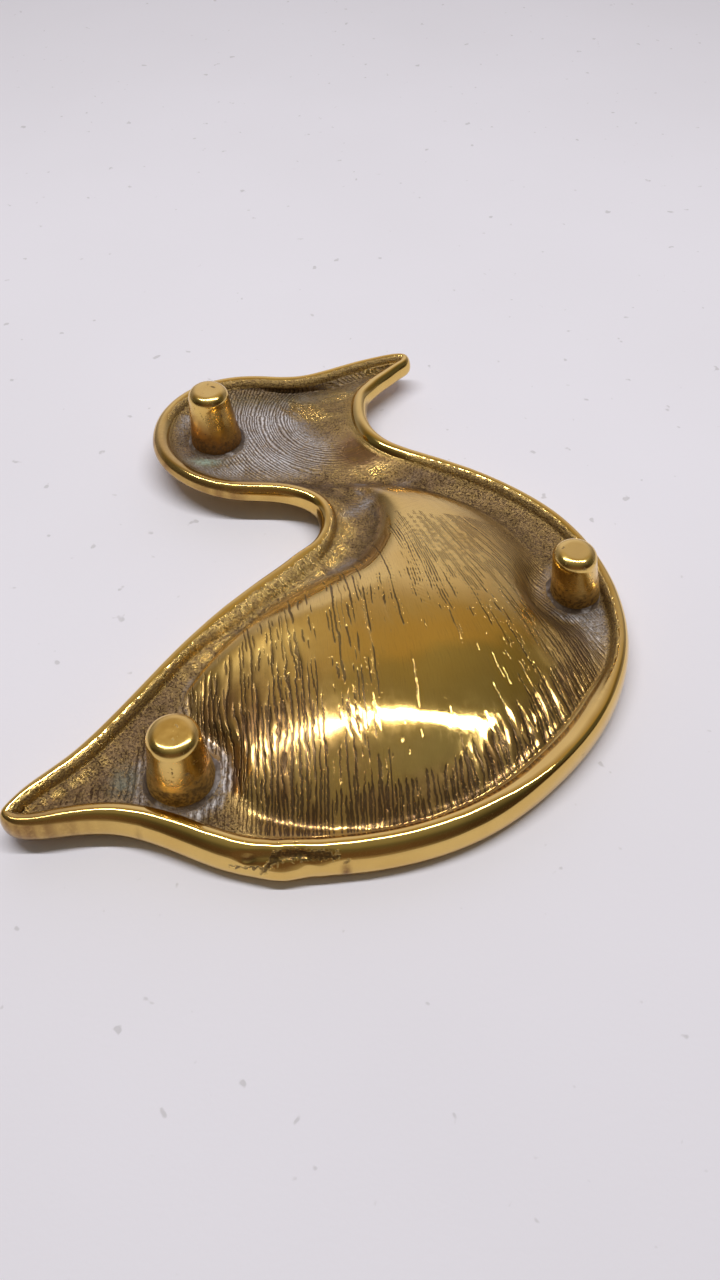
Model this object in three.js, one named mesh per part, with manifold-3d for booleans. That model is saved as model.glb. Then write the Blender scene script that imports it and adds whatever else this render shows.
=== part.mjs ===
import * as THREE from 'three';
import Module from 'manifold-3d';
import { mergeVertices } from 'three/addons/utils/BufferGeometryUtils.js';

// A duck-shaped dish, cast in one, lying face down on its rim with its three feet up.
// Millimetres. +Z is up, +Y runs from the belly towards the head, +X towards the breast.

// Outline
// Length from the tail tip to the bill tip. All places in the plan are drawn for the two tips
// below and then scaled to this length.
const DISH_LENGTH = 161.5;
// Each station joins a point on the duck's back with the point across from it on the belly, from
// the tail to the bill: back x, back y, belly x, belly y, at the outermost edge of the rim.
const TAIL_TIP = [-63.2, -65.0];
const BILL_TIP = [18.1, 74.5];
const STATIONS = [
  [-61.8, -61.2, -61.4, -67.0],
  [-58.2, -56.8, -57.6, -67.9],
  [-52.8, -51.4, -51.8, -67.3],
  [-47.3, -44.2, -42.0, -66.6],
  [-41.3, -35.0, -30.7, -69.6],
  [-34.6, -24.6, -18.5, -73.9],
  [-28.1, -16.1, -4.8, -74.6],
  [-22.2, -9.6, 10.9, -72.8],
  [-17.3, -4.6, 28.4, -66.8],
  [-13.2, -0.5, 43.7, -55.6],
  [-10.1, 2.7, 56.4, -40.2],
  [-7.3, 5.4, 62.7, -24.0],
  [-5.2, 9.9, 62.6, -7.1],
  [-6.2, 16.5, 50.8, 17.6],
  [-12.8, 20.2, 32.1, 30.8],
  [-25.9, 20.9, 19.0, 36.5],
  [-38.0, 25.2, 11.0, 41.1],
  [-46.2, 34.3, 7.4, 46.9],
  [-47.6, 47.2, 6.5, 53.5],
  [-38.8, 61.1, 7.1, 57.4],
  [-21.9, 66.1, 8.8, 60.2],
  [-12.9, 65.9, 10.8, 62.9],
  [-5.3, 68.3, 13.6, 66.0],
  [2.1, 71.7, 16.1, 68.8],
  [9.3, 74.5, 18.4, 71.8],
];

// Rise of the neck and the tail off the table: which way they run, where they start, how far
const NECK_WAY = [-0.5, 0.87];
const NECK_START = -10;
const NECK_RUN = 43;
const TAIL_START = 16;
const TAIL_RUN = 47;
const TAIL_LIFT = 2.4;
const HEAD_LIFT = 5.0;

// Rim: a round bead that is tall round the body and lower towards the tail and the head. Places
// in its section are shares of its width or height. Along part of the belly its front is broad
// and round, and along the back its inner side slopes down to the bowl.
const BODY_RIM_HEIGHT = 8.0;
const TAIL_RIM_DROP = 1.4;
const HEAD_RIM_DROP = 3.4;
const RIM_WIDTH = 4.3;
const BELLY_RIM_WIDTH = 6.2;
const BELLY_WIDENS = [2, 6];
const BELLY_NARROWS = [8.5, 12.5];
const BACK_RIM_WIDTH = 6.4;
const BACK_WIDENS = [5.8, 7.4];
const BACK_NARROWS = [10.8, 13];
const TIP_RIM_WIDTH = 3.4;
const TIP_TAPERS = [3, 5];
const RIM_CREST = 0.46;
const BELLY_RIM_CREST = 0.66;
const BACK_RIM_CREST = 0.29;
const RIM_FOOT = 0.3;
const RIM_WIDEST = 0.32;
const RIM_INNER_EDGE = 0.88;
const RIM_INNER_DROP = 2.2;
const RIM_INNER_DROP_AT_HEAD = 1.75;
const RIM_INNER_TURN = 1.2;
const BACK_INNER_TURN = 0.7;

// Wall and panels
const WALL = 2.7;
const HEAD_WALL = 2.2;
const PANEL_SINK = 1.2;
const HEAD_SINK = 1.9;
const PANEL_SLOPE = 7.0;

// Bowl: its underside rises as a bulge between two stations, with a channel left round it that
// widens towards the neck and makes room for the breast foot. The crest of the bulge lies nearer
// the back, most of all at the tail end, and from there it falls gently to the belly.
const BOWL_START = 5.5;
const BOWL_END = 15.2;
const BOWL_RISE = 9.7;
const BOWL_SQUARENESS = 4.2;
const BOWL_FLATNESS = 2.15;
const BOWL_TOE = 0.9;
const BOWL_CREST = 0.25;
const BOWL_CREST_DRIFT = 0.17;
const BACK_MARGIN = 7.6;
const NECK_MARGIN = 8.8;
const BELLY_CHANNEL = 0.9;
const BREAST_CHANNEL = 9.6;
const BREAST_CHANNEL_OPENS = [11.2, 13.4];
const CHANNEL_LIMIT = 0.24;
const FOOT_HOLLOW = [6.5, 16.0];
const FACE_HOLLOW = [5.0, 30.0];

// Feet: tapered pegs with rounded ends, each with a spigot in a blind socket
const FOOT_TOP_HEIGHT = 21.0;
const FOOT_ROUND = 2.3;
const FOOT_TAPER = 1.25;
const SPIGOT_RADIUS = 2.6;
const SPIGOT_LENGTH = 1.4;
const SOCKET_SPARE = 0.1;
const FIT_CLEARANCE = 0.05;
const SEAT_EDGE = 0.2;
const SEAT_STEP = 0.2;
const SEAT_SKIRT = 1.4;
const SEAT_DEPTH = 1.9;
const SEAT_FLAT = 1.0;
const SEAT_BLEND = 4.5;
const FEET = [
  { name: 'tail', base: [-30.0, -55.6], top: [-29.7, -54.8], radius: 6.6, topRadius: 5.2 },
  { name: 'breast', base: [52.9, -7.8], top: [50.4, -9.6], radius: 5.5, topRadius: 4.75 },
  { name: 'head', base: [-31.8, 41.6], top: [-32.8, 44.0], radius: 6.3, topRadius: 5.0 },
];

// Braze rings
const RING_WIDTH = 1.1;
const RING_HEIGHT = 1.0;
const RING_HOLLOW = 0.9;

// Mesh fineness
const STEP_LENGTH = 4.0;
const TOP_STEPS = 12;
const FACE_STEPS = 10;
const ROW_BUNCHING = 0.6;
const RIM_INNER_STEPS = 3;
const RIM_OUTER_STEPS = 5;
const RIM_UNDER_STEPS = 2;
const LIP_STEPS = 2;
const ROUND_SIDES = 32;
const TAPER_STEPS = 5;
const ROUND_STEPS = 5;
const RING_STEPS = 4;

const TAU = 2 * Math.PI;
const QUARTER = Math.PI / 2;
const clamp01 = (x) => Math.min(1, Math.max(0, x));
const smooth = (x) => clamp01(x) ** 2 * (3 - 2 * clamp01(x));
const between = (x, [from, to]) => smooth((x - from) / (to - from));
const mix = (a, b, t) => a + (b - a) * t;
const wasm = await Module();
wasm.setup();

// Smooth closed curve through the outline points, a cubic spline over the distance between them
function closedSpline(points) {
  const count = points.length;
  const at = (i) => points[(i + count) % count];
  const gap = points.map((p, i) => Math.hypot(at(i + 1)[0] - p[0], at(i + 1)[1] - p[1]));
  const gapAt = (i) => gap[(i + count) % count];
  const slope = (i, axis) => (at(i + 1)[axis] - at(i)[axis]) / gapAt(i);
  const bend = points.map(() => [0, 0]);
  const bendAt = (i) => bend[(i + count) % count];
  for (let round = 0; round < 60; round++) {
    for (let i = 0; i < count; i++) {
      for (const axis of [0, 1]) {
        const pull = 6 * (slope(i, axis) - slope(i - 1, axis));
        const sides = gapAt(i - 1) * bendAt(i - 1)[axis] + gapAt(i) * bendAt(i + 1)[axis];
        bend[i][axis] = (pull - sides) / (2 * (gapAt(i - 1) + gapAt(i)));
      }
    }
  }
  return (position) => {
    const i = Math.floor(position);
    const t = position - i;
    const h = gapAt(i);
    const place = [];
    const run = [];
    for (const axis of [0, 1]) {
      const [p, q] = [at(i)[axis], at(i + 1)[axis]];
      const [a, b] = [bendAt(i)[axis], bendAt(i + 1)[axis]];
      const curve = ((1 - t) ** 3 - (1 - t)) * a + (t ** 3 - t) * b;
      place.push(mix(p, q, t) + (curve * h * h) / 6);
      run.push((q - p) / h + (((1 - 3 * (1 - t) ** 2) * a + (3 * t * t - 1) * b) * h) / 6);
    }
    const length = Math.hypot(run[0], run[1]);
    return { x: place[0], y: place[1], inward: [run[1] / length, -run[0] / length] };
  };
}

const DRAWN_LENGTH = Math.hypot(BILL_TIP[0] - TAIL_TIP[0], BILL_TIP[1] - TAIL_TIP[1]);
const PLAN_SCALE = DISH_LENGTH / DRAWN_LENGTH;
const planned = (x, y) => [x * PLAN_SCALE, y * PLAN_SCALE];
const feet = FEET.map((foot) => {
  return { ...foot, base: planned(...foot.base), top: planned(...foot.top) };
});
const breastFoot = feet.find((foot) => foot.name === 'breast');

const STATION_COUNT = STATIONS.length + 1;
const outline = closedSpline([
  planned(...TAIL_TIP),
  ...STATIONS.map((s) => planned(s[0], s[1])),
  planned(...BILL_TIP),
  ...STATIONS.toReversed().map((s) => planned(s[2], s[3])),
]);

// How far along a point is towards the head, and towards the tail, from 0 on the body to 1
function headward(x, y) {
  const along = (NECK_WAY[0] * x + NECK_WAY[1] * y) / PLAN_SCALE;
  return smooth((along - NECK_START) / NECK_RUN);
}

function tailward(x) {
  return smooth((-x / PLAN_SCALE - TAIL_START) / TAIL_RUN);
}

const wallAt = (x, y) => mix(WALL, HEAD_WALL, headward(x, y));

// Width of the rim at a station from the tail tip to the bill tip, where its crest lies as a share
// of that width, and how far its inner side turns over
function rimForm(station, onBelly) {
  const tip = smooth(station / TIP_TAPERS[0]) * smooth((STATION_COUNT - station) / TIP_TAPERS[1]);
  const [widens, narrows] = onBelly ? [BELLY_WIDENS, BELLY_NARROWS] : [BACK_WIDENS, BACK_NARROWS];
  const wide = between(station, widens) * (1 - between(station, narrows));
  const full = mix(RIM_WIDTH, onBelly ? BELLY_RIM_WIDTH : BACK_RIM_WIDTH, wide);
  return {
    width: mix(TIP_RIM_WIDTH, full, tip),
    crest: mix(RIM_CREST, onBelly ? BELLY_RIM_CREST : BACK_RIM_CREST, wide),
    turn: mix(RIM_INNER_TURN, onBelly ? RIM_INNER_TURN : BACK_INNER_TURN, wide),
  };
}

// Section of the rim at an outline position: points from the underside panel, over the bead and
// round the lip to the edge of the face
function rimSection(position) {
  const onBelly = position > STATION_COUNT;
  const station = onBelly ? 2 * STATION_COUNT - position : position;
  const edge = outline(position);
  const { width, crest: crestShare, turn } = rimForm(station, onBelly);
  const head = headward(edge.x, edge.y);
  const tail = tailward(edge.x);
  const lip = HEAD_LIFT * head + TAIL_LIFT * tail;
  const height = BODY_RIM_HEIGHT - HEAD_RIM_DROP * head - TAIL_RIM_DROP * tail;
  const crest = crestShare * width;
  const foot = RIM_FOOT * width;
  const widest = lip + RIM_WIDEST * height;
  const drop = mix(RIM_INNER_DROP, RIM_INNER_DROP_AT_HEAD, head);
  const panel = lip + height - drop;
  const face = panel - wallAt(edge.x, edge.y);
  const section = [];
  const add = (depth, z) => {
    section.push([edge.x + edge.inward[0] * depth, edge.y + edge.inward[1] * depth, z]);
  };
  for (let i = RIM_INNER_STEPS; i > 0; i--) {
    const angle = (turn * i) / RIM_INNER_STEPS;
    const across = Math.sin(angle) / Math.sin(turn);
    const down = (1 - Math.cos(angle)) / (1 - Math.cos(turn));
    add(crest + (width - crest) * across, lip + height - drop * down);
  }
  for (let i = 0; i < RIM_OUTER_STEPS; i++) {
    const angle = (QUARTER * i) / RIM_OUTER_STEPS;
    add(crest * (1 - Math.sin(angle)), widest + (lip + height - widest) * Math.cos(angle));
  }
  for (let i = 0; i < RIM_UNDER_STEPS; i++) {
    const angle = (QUARTER * i) / RIM_UNDER_STEPS;
    add(foot * (1 - Math.cos(angle)), widest - (widest - lip) * Math.sin(angle));
  }
  for (let i = 0; i <= LIP_STEPS; i++) {
    const angle = (QUARTER * i) / LIP_STEPS;
    const reach = RIM_INNER_EDGE * width - foot;
    add(foot + reach * Math.sin(angle), lip + (face - lip) * (1 - Math.cos(angle)));
  }
  return section;
}

// How far along the bowl a station is, from 0 where it starts to 1 where it ends
const alongBowl = (station) => (station - BOWL_START) / (BOWL_END - BOWL_START);

// The two sides of the bulge as shares of the way across a station
function bulgeSides(station, length) {
  const limit = CHANNEL_LIMIT * length;
  const margin = BACK_MARGIN + NECK_MARGIN * clamp01(alongBowl(station)) ** 2;
  const back = Math.min(margin - rimForm(station, false).width, limit);
  const breast = BREAST_CHANNEL * between(station, BREAST_CHANNEL_OPENS);
  return [back / length, 1 - Math.min(BELLY_CHANNEL + breast, limit) / length];
}

// Height of the bowl's bulge over the panel, part way across a station
function bowlRise(station, across, length, x, y, hollowReach) {
  const [from, to] = bulgeSides(station, length);
  const along = alongBowl(station);
  const crest = BOWL_CREST + BOWL_CREST_DRIFT * (clamp01(along) - 0.5);
  const beyond = (across - from) / (to - from) - crest;
  const sideways = beyond < 0 ? -beyond / crest : beyond / (1 - crest);
  const lengthways = Math.abs(2 * along - 1);
  const power = BOWL_SQUARENESS;
  const out = (sideways ** power + lengthways ** power) ** (1 / power);
  if (out >= 1) return 0;
  const [footX, footY] = breastFoot.base;
  const hollow = between(Math.hypot(x - footX, y - footY), hollowReach);
  return BOWL_RISE * (1 - out ** BOWL_FLATNESS) ** BOWL_TOE * hollow;
}

// Depth of the panel under its edge, part way across a station
function panelSink(x, y, across, length) {
  const head = headward(x, y);
  const near = Math.min(across, 1 - across) * length;
  return mix(PANEL_SINK, HEAD_SINK, head) * (1 - Math.exp(-((near / PANEL_SLOPE) ** 1.5)));
}

// Height of the underside, where it levels out round the seat of a foot
function levelled(x, y, z, seats) {
  return seats.reduce((height, seat) => {
    const away = Math.hypot(x - seat.base[0], y - seat.base[1]);
    const flat = seat.reach + SEAT_FLAT;
    return mix(seat.level - SEAT_STEP, height, between(away, [flat, flat + SEAT_BLEND]));
  }, z);
}

// Points across the dish between the two edges of a station, the first and the last of them
// where the bulge meets its channel and the rest closer together near there. Depth is how far
// the surface lies below the underside.
function acrossRow(station, from, to, steps, hollowReach, seats, depth) {
  const length = Math.hypot(to[0] - from[0], to[1] - from[1]);
  const [start, end] = bulgeSides(station, length);
  const row = [];
  for (let i = 0; i <= steps - 2; i++) {
    const share = i / (steps - 2);
    const bunched = mix(share, (1 - Math.cos(Math.PI * share)) / 2, ROW_BUNCHING);
    const across = mix(start, end, bunched);
    const x = mix(from[0], to[0], across);
    const y = mix(from[1], to[1], across);
    const below = depth(x, y);
    const panel = mix(from[2], to[2], across) - panelSink(x, y, across, length) + below;
    const rise = bowlRise(station, across, length, x, y, hollowReach);
    row.push([x, y, levelled(x, y, panel + rise, seats) - below]);
  }
  return row;
}

// Stations at which the dish is sampled, closer together where the outline is short
function sampleStations() {
  const samples = [0];
  for (let k = 0; k < STATION_COUNT; k++) {
    const chord = (a, b) => Math.hypot(outline(a).x - outline(b).x, outline(a).y - outline(b).y);
    const belly = chord(2 * STATION_COUNT - k - 0.001, 2 * STATION_COUNT - k - 0.999);
    const steps = Math.max(2, Math.ceil(Math.max(chord(k, k + 0.999), belly) / STEP_LENGTH));
    for (let i = 1; i <= steps; i++) samples.push(k + i / steps);
  }
  return samples;
}

// A closed body from lists of points and faces
function bodyFrom(points, faces) {
  const geometry = new THREE.BufferGeometry();
  geometry.setAttribute('position', new THREE.Float32BufferAttribute(points.flat(), 3));
  geometry.setIndex(faces.flat());
  return geometry;
}

// Faces between two rows of point numbers of the same length
function stitch(faces, left, right) {
  for (let i = 0; i + 1 < left.length; i++) {
    faces.push([left[i], right[i], right[i + 1]], [left[i], right[i + 1], left[i + 1]]);
  }
}

// The casting: the rim swept round the outline, closed across by the underside and the face
function castingBody(seats) {
  const points = [];
  const faces = [];
  const store = (list) => list.map((p) => points.push(p) - 1);
  const samples = sampleStations();
  const last = samples.length - 1;
  const rows = samples.map((station, i) => {
    const back = store(rimSection(station));
    if (i === 0 || i === last) return { back, belly: back };
    const belly = store(rimSection(2 * STATION_COUNT - station));
    const end = back.length - 1;
    const line = (rim, steps, hollow, depth) => {
      const [from, to] = [back[rim], belly[rim]];
      const row = acrossRow(station, points[from], points[to], steps, hollow, seats, depth);
      return [from, ...store(row), to];
    };
    const top = line(0, TOP_STEPS, FOOT_HOLLOW, () => 0);
    const face = line(end, FACE_STEPS, FACE_HOLLOW, wallAt);
    return { back, belly, top, face };
  });
  for (let i = 0; i < last; i++) {
    const [a, b] = [rows[i], rows[i + 1]];
    stitch(faces, a.back, b.back);
    stitch(faces, b.belly, a.belly);
    const end = a.back.length - 1;
    for (const [kind, rim, flip] of [['top', 0, true], ['face', end, false]]) {
      const near = a[kind] ?? b[kind].map(() => a.back[rim]);
      const far = b[kind] ?? a[kind].map(() => b.back[rim]);
      const strip = [];
      stitch(strip, near, far);
      for (const f of strip) {
        if (new Set(f).size === 3) faces.push(flip ? [f[0], f[2], f[1]] : f);
      }
    }
  }
  return bodyFrom(points, faces);
}

// A round body about an upright axis that may lean: rings of radius, height and sideways shift
function turnedBody(rings, shift) {
  const points = [];
  const faces = [];
  const low = points.push([...shift(rings[0][1]), rings[0][1]]) - 1;
  const circles = rings.map(([radius, z]) => {
    const circle = [];
    const [cx, cy] = shift(z);
    for (let i = 0; i < ROUND_SIDES; i++) {
      const angle = (TAU * i) / ROUND_SIDES;
      circle.push(points.push([cx + radius * Math.cos(angle), cy + radius * Math.sin(angle), z]) - 1);
    }
    return [...circle, circle[0]];
  });
  for (let i = 0; i + 1 < circles.length; i++) stitch(faces, circles[i + 1], circles[i]);
  const top = rings[rings.length - 1][1];
  const high = points.push([...shift(top), top]) - 1;
  const crown = circles[circles.length - 1];
  for (let i = 0; i < ROUND_SIDES; i++) {
    faces.push([low, circles[0][i + 1], circles[0][i]], [high, crown[i], crown[i + 1]]);
  }
  return bodyFrom(points, faces);
}

// Joining and cutting
function solid(geometry) {
  const merged = mergeVertices(geometry);
  const vertProperties = new Float32Array(merged.attributes.position.array);
  const triVerts = new Uint32Array(merged.index.array);
  return new wasm.Manifold(new wasm.Mesh({ numProp: 3, vertProperties, triVerts }));
}

function geometryOf(body) {
  const mesh = body.getMesh();
  const geometry = new THREE.BufferGeometry();
  geometry.setAttribute('position', new THREE.BufferAttribute(mesh.vertProperties, 3));
  geometry.setIndex(new THREE.BufferAttribute(mesh.triVerts, 1));
  return geometry;
}

// Height of the casting's underside over a point of the plan
function undersideAt(geometry, x, y) {
  const above = new THREE.Vector3(x, y, FOOT_TOP_HEIGHT);
  const probe = new THREE.Raycaster(above, new THREE.Vector3(0, 0, -1));
  return probe.intersectObject(new THREE.Mesh(geometry))[0].point.z;
}

// The flat seat under a foot: its reach, and a level just over the mean of the panel round it
function seatOf(geometry, foot) {
  let sum = 0;
  for (let i = 0; i < ROUND_SIDES; i++) {
    const angle = (TAU * i) / ROUND_SIDES;
    const x = foot.base[0] + foot.radius * Math.cos(angle);
    const y = foot.base[1] + foot.radius * Math.sin(angle);
    sum += undersideAt(geometry, x, y);
  }
  const level = sum / ROUND_SIDES + SEAT_STEP;
  return { base: foot.base, level, reach: foot.radius + RING_WIDTH + SEAT_EDGE };
}

// Each seat is raised as a low pad, faced off flat and given a blind socket
function castingWithSeats(seats) {
  let body = solid(castingBody(seats));
  for (const { base, level, reach } of seats) {
    const skirt = reach + SEAT_SKIRT;
    const pad = [[reach, level - SEAT_DEPTH], [skirt, level - SEAT_SKIRT], [reach, level]];
    const above = [[reach, level], [reach, level + SEAT_DEPTH]];
    const socketRadius = SPIGOT_RADIUS + FIT_CLEARANCE;
    const socketFloor = level - SPIGOT_LENGTH - SOCKET_SPARE;
    const socket = [[socketRadius, socketFloor], [socketRadius, level + SEAT_DEPTH]];
    body = body.add(solid(turnedBody(pad, () => base)));
    body = body.subtract(solid(turnedBody(above, () => base)));
    body = body.subtract(solid(turnedBody(socket, () => base)));
  }
  return geometryOf(body);
}

// A foot: spigot, short straight base, taper that may lean, rounded end with a flat top
function footBody(foot, level) {
  const shoulder = FOOT_TOP_HEIGHT - FOOT_ROUND;
  const taperStart = level + RING_HEIGHT;
  const shift = (z) => {
    const rise = clamp01((z - taperStart) / (shoulder - taperStart));
    return [mix(foot.base[0], foot.top[0], rise), mix(foot.base[1], foot.top[1], rise)];
  };
  const rings = [[SPIGOT_RADIUS, level - SPIGOT_LENGTH], [SPIGOT_RADIUS, level]];
  rings.push([foot.radius, level], [foot.radius, taperStart]);
  for (let i = 1; i < TAPER_STEPS; i++) {
    const share = i / TAPER_STEPS;
    const radius = mix(foot.topRadius, foot.radius, (1 - share) ** FOOT_TAPER);
    rings.push([radius, mix(taperStart, shoulder, share)]);
  }
  for (let i = 0; i <= ROUND_STEPS; i++) {
    const angle = (QUARTER * i) / ROUND_STEPS;
    const radius = foot.topRadius - FOOT_ROUND * (1 - Math.cos(angle));
    rings.push([radius, shoulder + FOOT_ROUND * Math.sin(angle)]);
  }
  return turnedBody(rings, shift);
}

// A fillet of filler metal in the corner between a foot and its seat
function ringBody(foot, level) {
  const inner = foot.radius + FIT_CLEARANCE;
  const outer = foot.radius + RING_WIDTH;
  const section = [[inner, level], [outer, level]];
  for (let i = 1; i <= RING_STEPS; i++) {
    const angle = (QUARTER * i) / RING_STEPS;
    const radius = outer - (outer - inner) * Math.sin(angle) * RING_HOLLOW;
    section.push([radius, level + RING_HEIGHT * (1 - Math.cos(angle))]);
  }
  section.push([inner, level + RING_HEIGHT]);
  const points = [];
  const faces = [];
  const loops = section.map(([radius, z]) => {
    const loop = [];
    for (let i = 0; i < ROUND_SIDES; i++) {
      const angle = (TAU * i) / ROUND_SIDES;
      const x = foot.base[0] + radius * Math.cos(angle);
      loop.push(points.push([x, foot.base[1] + radius * Math.sin(angle), z]) - 1);
    }
    return [...loop, loop[0]];
  });
  loops.forEach((loop, i) => stitch(faces, loops[(i + 1) % loops.length], loop));
  return bodyFrom(points, faces);
}

// Materials
function material(name, color, roughness, metalness) {
  return Object.assign(new THREE.MeshStandardMaterial({ color, roughness, metalness }), { name });
}

const brass = material('cast_brass', 0xb28a3c, 0.3, 1.0);
const pegBrass = material('peg_brass', 0xbc9146, 0.24, 1.0);
const filler = material('braze_filler', 0x9d9384, 0.55, 1.0);

// Assembly
const dish = new THREE.Group();
dish.name = 'duck_dish';

function addPiece(name, geometry, look) {
  const mesh = new THREE.Mesh(geometry, look);
  mesh.name = name;
  dish.add(mesh);
}

const plain = castingBody([]);
const seats = feet.map((foot) => seatOf(plain, foot));
addPiece('dish_casting', castingWithSeats(seats), brass);
feet.forEach((foot, i) => {
  addPiece(`foot_${foot.name}`, footBody(foot, seats[i].level), pegBrass);
  addPiece(`braze_ring_${foot.name}`, ringBody(foot, seats[i].level), filler);
});

// The dish stands on z = 0 with the middle of its plan at the origin
const bounds = new THREE.Box3().setFromObject(dish);
const middle = bounds.getCenter(new THREE.Vector3());
dish.children.forEach((piece) => piece.geometry.translate(-middle.x, -middle.y, -bounds.min.z));

export default dish;
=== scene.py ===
import math

import bpy
import numpy as np
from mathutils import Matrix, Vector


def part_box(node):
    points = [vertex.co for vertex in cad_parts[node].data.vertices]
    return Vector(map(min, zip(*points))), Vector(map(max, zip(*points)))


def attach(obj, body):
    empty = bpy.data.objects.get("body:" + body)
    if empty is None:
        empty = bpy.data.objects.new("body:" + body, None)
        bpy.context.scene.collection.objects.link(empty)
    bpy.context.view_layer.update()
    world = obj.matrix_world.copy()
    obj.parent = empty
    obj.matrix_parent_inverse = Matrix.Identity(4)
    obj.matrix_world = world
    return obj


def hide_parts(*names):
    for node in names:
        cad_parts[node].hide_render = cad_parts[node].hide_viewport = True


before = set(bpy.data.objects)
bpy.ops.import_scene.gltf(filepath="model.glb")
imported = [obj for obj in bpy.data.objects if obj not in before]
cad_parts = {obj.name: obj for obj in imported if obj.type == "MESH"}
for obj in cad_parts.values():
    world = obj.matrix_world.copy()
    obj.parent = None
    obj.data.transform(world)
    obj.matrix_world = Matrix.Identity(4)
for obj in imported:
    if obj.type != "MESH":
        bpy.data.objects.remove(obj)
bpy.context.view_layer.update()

MM = 0.001

# Outline of the duck: back x, back y, belly x, belly y at the edge of the rim, from tail to bill
TAIL_TIP = (-63.2, -65.0)
BILL_TIP = (18.1, 74.5)
STATIONS = [
    (-61.8, -61.2, -61.4, -67.0),
    (-58.2, -56.8, -57.6, -67.9),
    (-52.8, -51.4, -51.8, -67.3),
    (-47.3, -44.2, -42.0, -66.6),
    (-41.3, -35.0, -30.7, -69.6),
    (-34.6, -24.6, -18.5, -73.9),
    (-28.1, -16.1, -4.8, -74.6),
    (-22.2, -9.6, 10.9, -72.8),
    (-17.3, -4.6, 28.4, -66.8),
    (-13.2, -0.5, 43.7, -55.6),
    (-10.1, 2.7, 56.4, -40.2),
    (-7.3, 5.4, 62.7, -24.0),
    (-5.2, 9.9, 62.6, -7.1),
    (-6.2, 16.5, 50.8, 17.6),
    (-12.8, 20.2, 32.1, 30.8),
    (-25.9, 20.9, 19.0, 36.5),
    (-38.0, 25.2, 11.0, 41.1),
    (-46.2, 34.3, 7.4, 46.9),
    (-47.6, 47.2, 6.5, 53.5),
    (-38.8, 61.1, 7.1, 57.4),
    (-21.9, 66.1, 8.8, 60.2),
    (-12.9, 65.9, 10.8, 62.9),
    (-5.3, 68.3, 13.6, 66.0),
    (2.1, 71.7, 16.1, 68.8),
    (9.3, 74.5, 18.4, 71.8),
]
COUNT = len(STATIONS) + 1
SCALE = 161.5 / math.dist(TAIL_TIP, BILL_TIP)


def planned(x, y):
    return x * SCALE, y * SCALE


# Feet: name, middle of the base, middle of the top, radius at the base and at the top
FEET = [
    ("tail", planned(-30.0, -55.6), planned(-29.7, -54.8), 6.6, 5.2),
    ("breast", planned(52.9, -7.8), planned(50.4, -9.6), 5.5, 4.75),
    ("head", planned(-31.8, 41.6), planned(-32.8, 44.0), 6.3, 5.0),
]
FOOT_ROUND = 2.3
RING_WIDTH = 1.1
RING_HEIGHT = 1.0
SEAT_STEP = 0.2


def clamp(x):
    return np.clip(x, 0.0, 1.0)


def smooth(x):
    return clamp(x) ** 2 * (3 - 2 * clamp(x))


def between(x, low, high):
    return smooth((x - low) / (high - low))


def mix(a, b, t):
    return a + (b - a) * t


# Where the solids stand: the shift of the plan and the level of each foot's seat
ring_low, ring_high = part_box("braze_ring_tail")
SHIFT = [(ring_low[i] + ring_high[i]) / 2 / MM - FEET[0][1][i] for i in range(2)]
SEAT_LEVEL = {name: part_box("braze_ring_" + name)[0][2] / MM for name, *_ in FEET}


# Repeatable noise from whole-number hashing
def lattice(ix, iy, seed):
    h = (ix * 374761393 + iy * 668265263 + seed * 974634777) & 0xFFFFFFFF
    h = ((h ^ (h >> 13)) * 1274126177) & 0xFFFFFFFF
    return ((h ^ (h >> 16)) & 0xFFFF) / 65535.0


def noise(x, y, seed):
    """Smooth noise from -1 to 1 with features about one unit wide."""
    x, y = np.broadcast_arrays(np.asarray(x, float), np.asarray(y, float))
    ix, iy = np.floor(x).astype(np.int64), np.floor(y).astype(np.int64)
    tx, ty = smooth(x - ix), smooth(y - iy)
    low = mix(lattice(ix, iy, seed), lattice(ix + 1, iy, seed), tx)
    high = mix(lattice(ix, iy + 1, seed), lattice(ix + 1, iy + 1, seed), tx)
    return 2 * mix(low, high, ty) - 1


def rough_noise(x, y, seed, octaves=3):
    total = np.zeros(np.broadcast(np.asarray(x), np.asarray(y)).shape)
    for k in range(octaves):
        total = total + noise(x * 2.03**k + 17.3 * k, y * 2.03**k - 9.1 * k, seed + k) / 1.9**k
    return total / 1.7


# Smooth closed curve through the outline
def closed_curve(points):
    count = len(points)
    gap = np.linalg.norm(np.roll(points, -1, 0) - points, axis=1)
    rows = np.zeros((count, count))
    pull = np.zeros((count, 2))
    for i in range(count):
        j, before, after = (i + 1) % count, gap[i - 1], gap[i]
        rows[i, i - 1] += before
        rows[i, i] += 2 * (before + after)
        rows[i, j] += after
        pull[i] = 6 * ((points[j] - points[i]) / after - (points[i] - points[i - 1]) / before)
    bend = np.linalg.solve(rows, pull)

    def at(position):
        position = np.asarray(position, float) % count
        i = np.floor(position).astype(int)
        t = (position - i)[..., None]
        j = (i + 1) % count
        p, q, a, b, h = points[i], points[j], bend[i], bend[j], gap[i][..., None]
        place = mix(p, q, t) + (((1 - t) ** 3 - (1 - t)) * a + (t**3 - t) * b) * h * h / 6
        run = (q - p) / h + (((1 - 3 * (1 - t) ** 2) * a + (3 * t * t - 1) * b) * h) / 6
        run = run / np.linalg.norm(run, axis=-1, keepdims=True)
        return place, np.stack([run[..., 1], -run[..., 0]], -1)

    return at


outline = closed_curve(
    SCALE
    * np.array(
        [TAIL_TIP]
        + [(s[0], s[1]) for s in STATIONS]
        + [BILL_TIP]
        + [(s[2], s[3]) for s in reversed(STATIONS)]
    )
)


def headward(x, y):
    return smooth((-0.5 * x + 0.87 * y + 10) / 43)


def tailward(x):
    return smooth((-x - 16) / 47)


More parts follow.
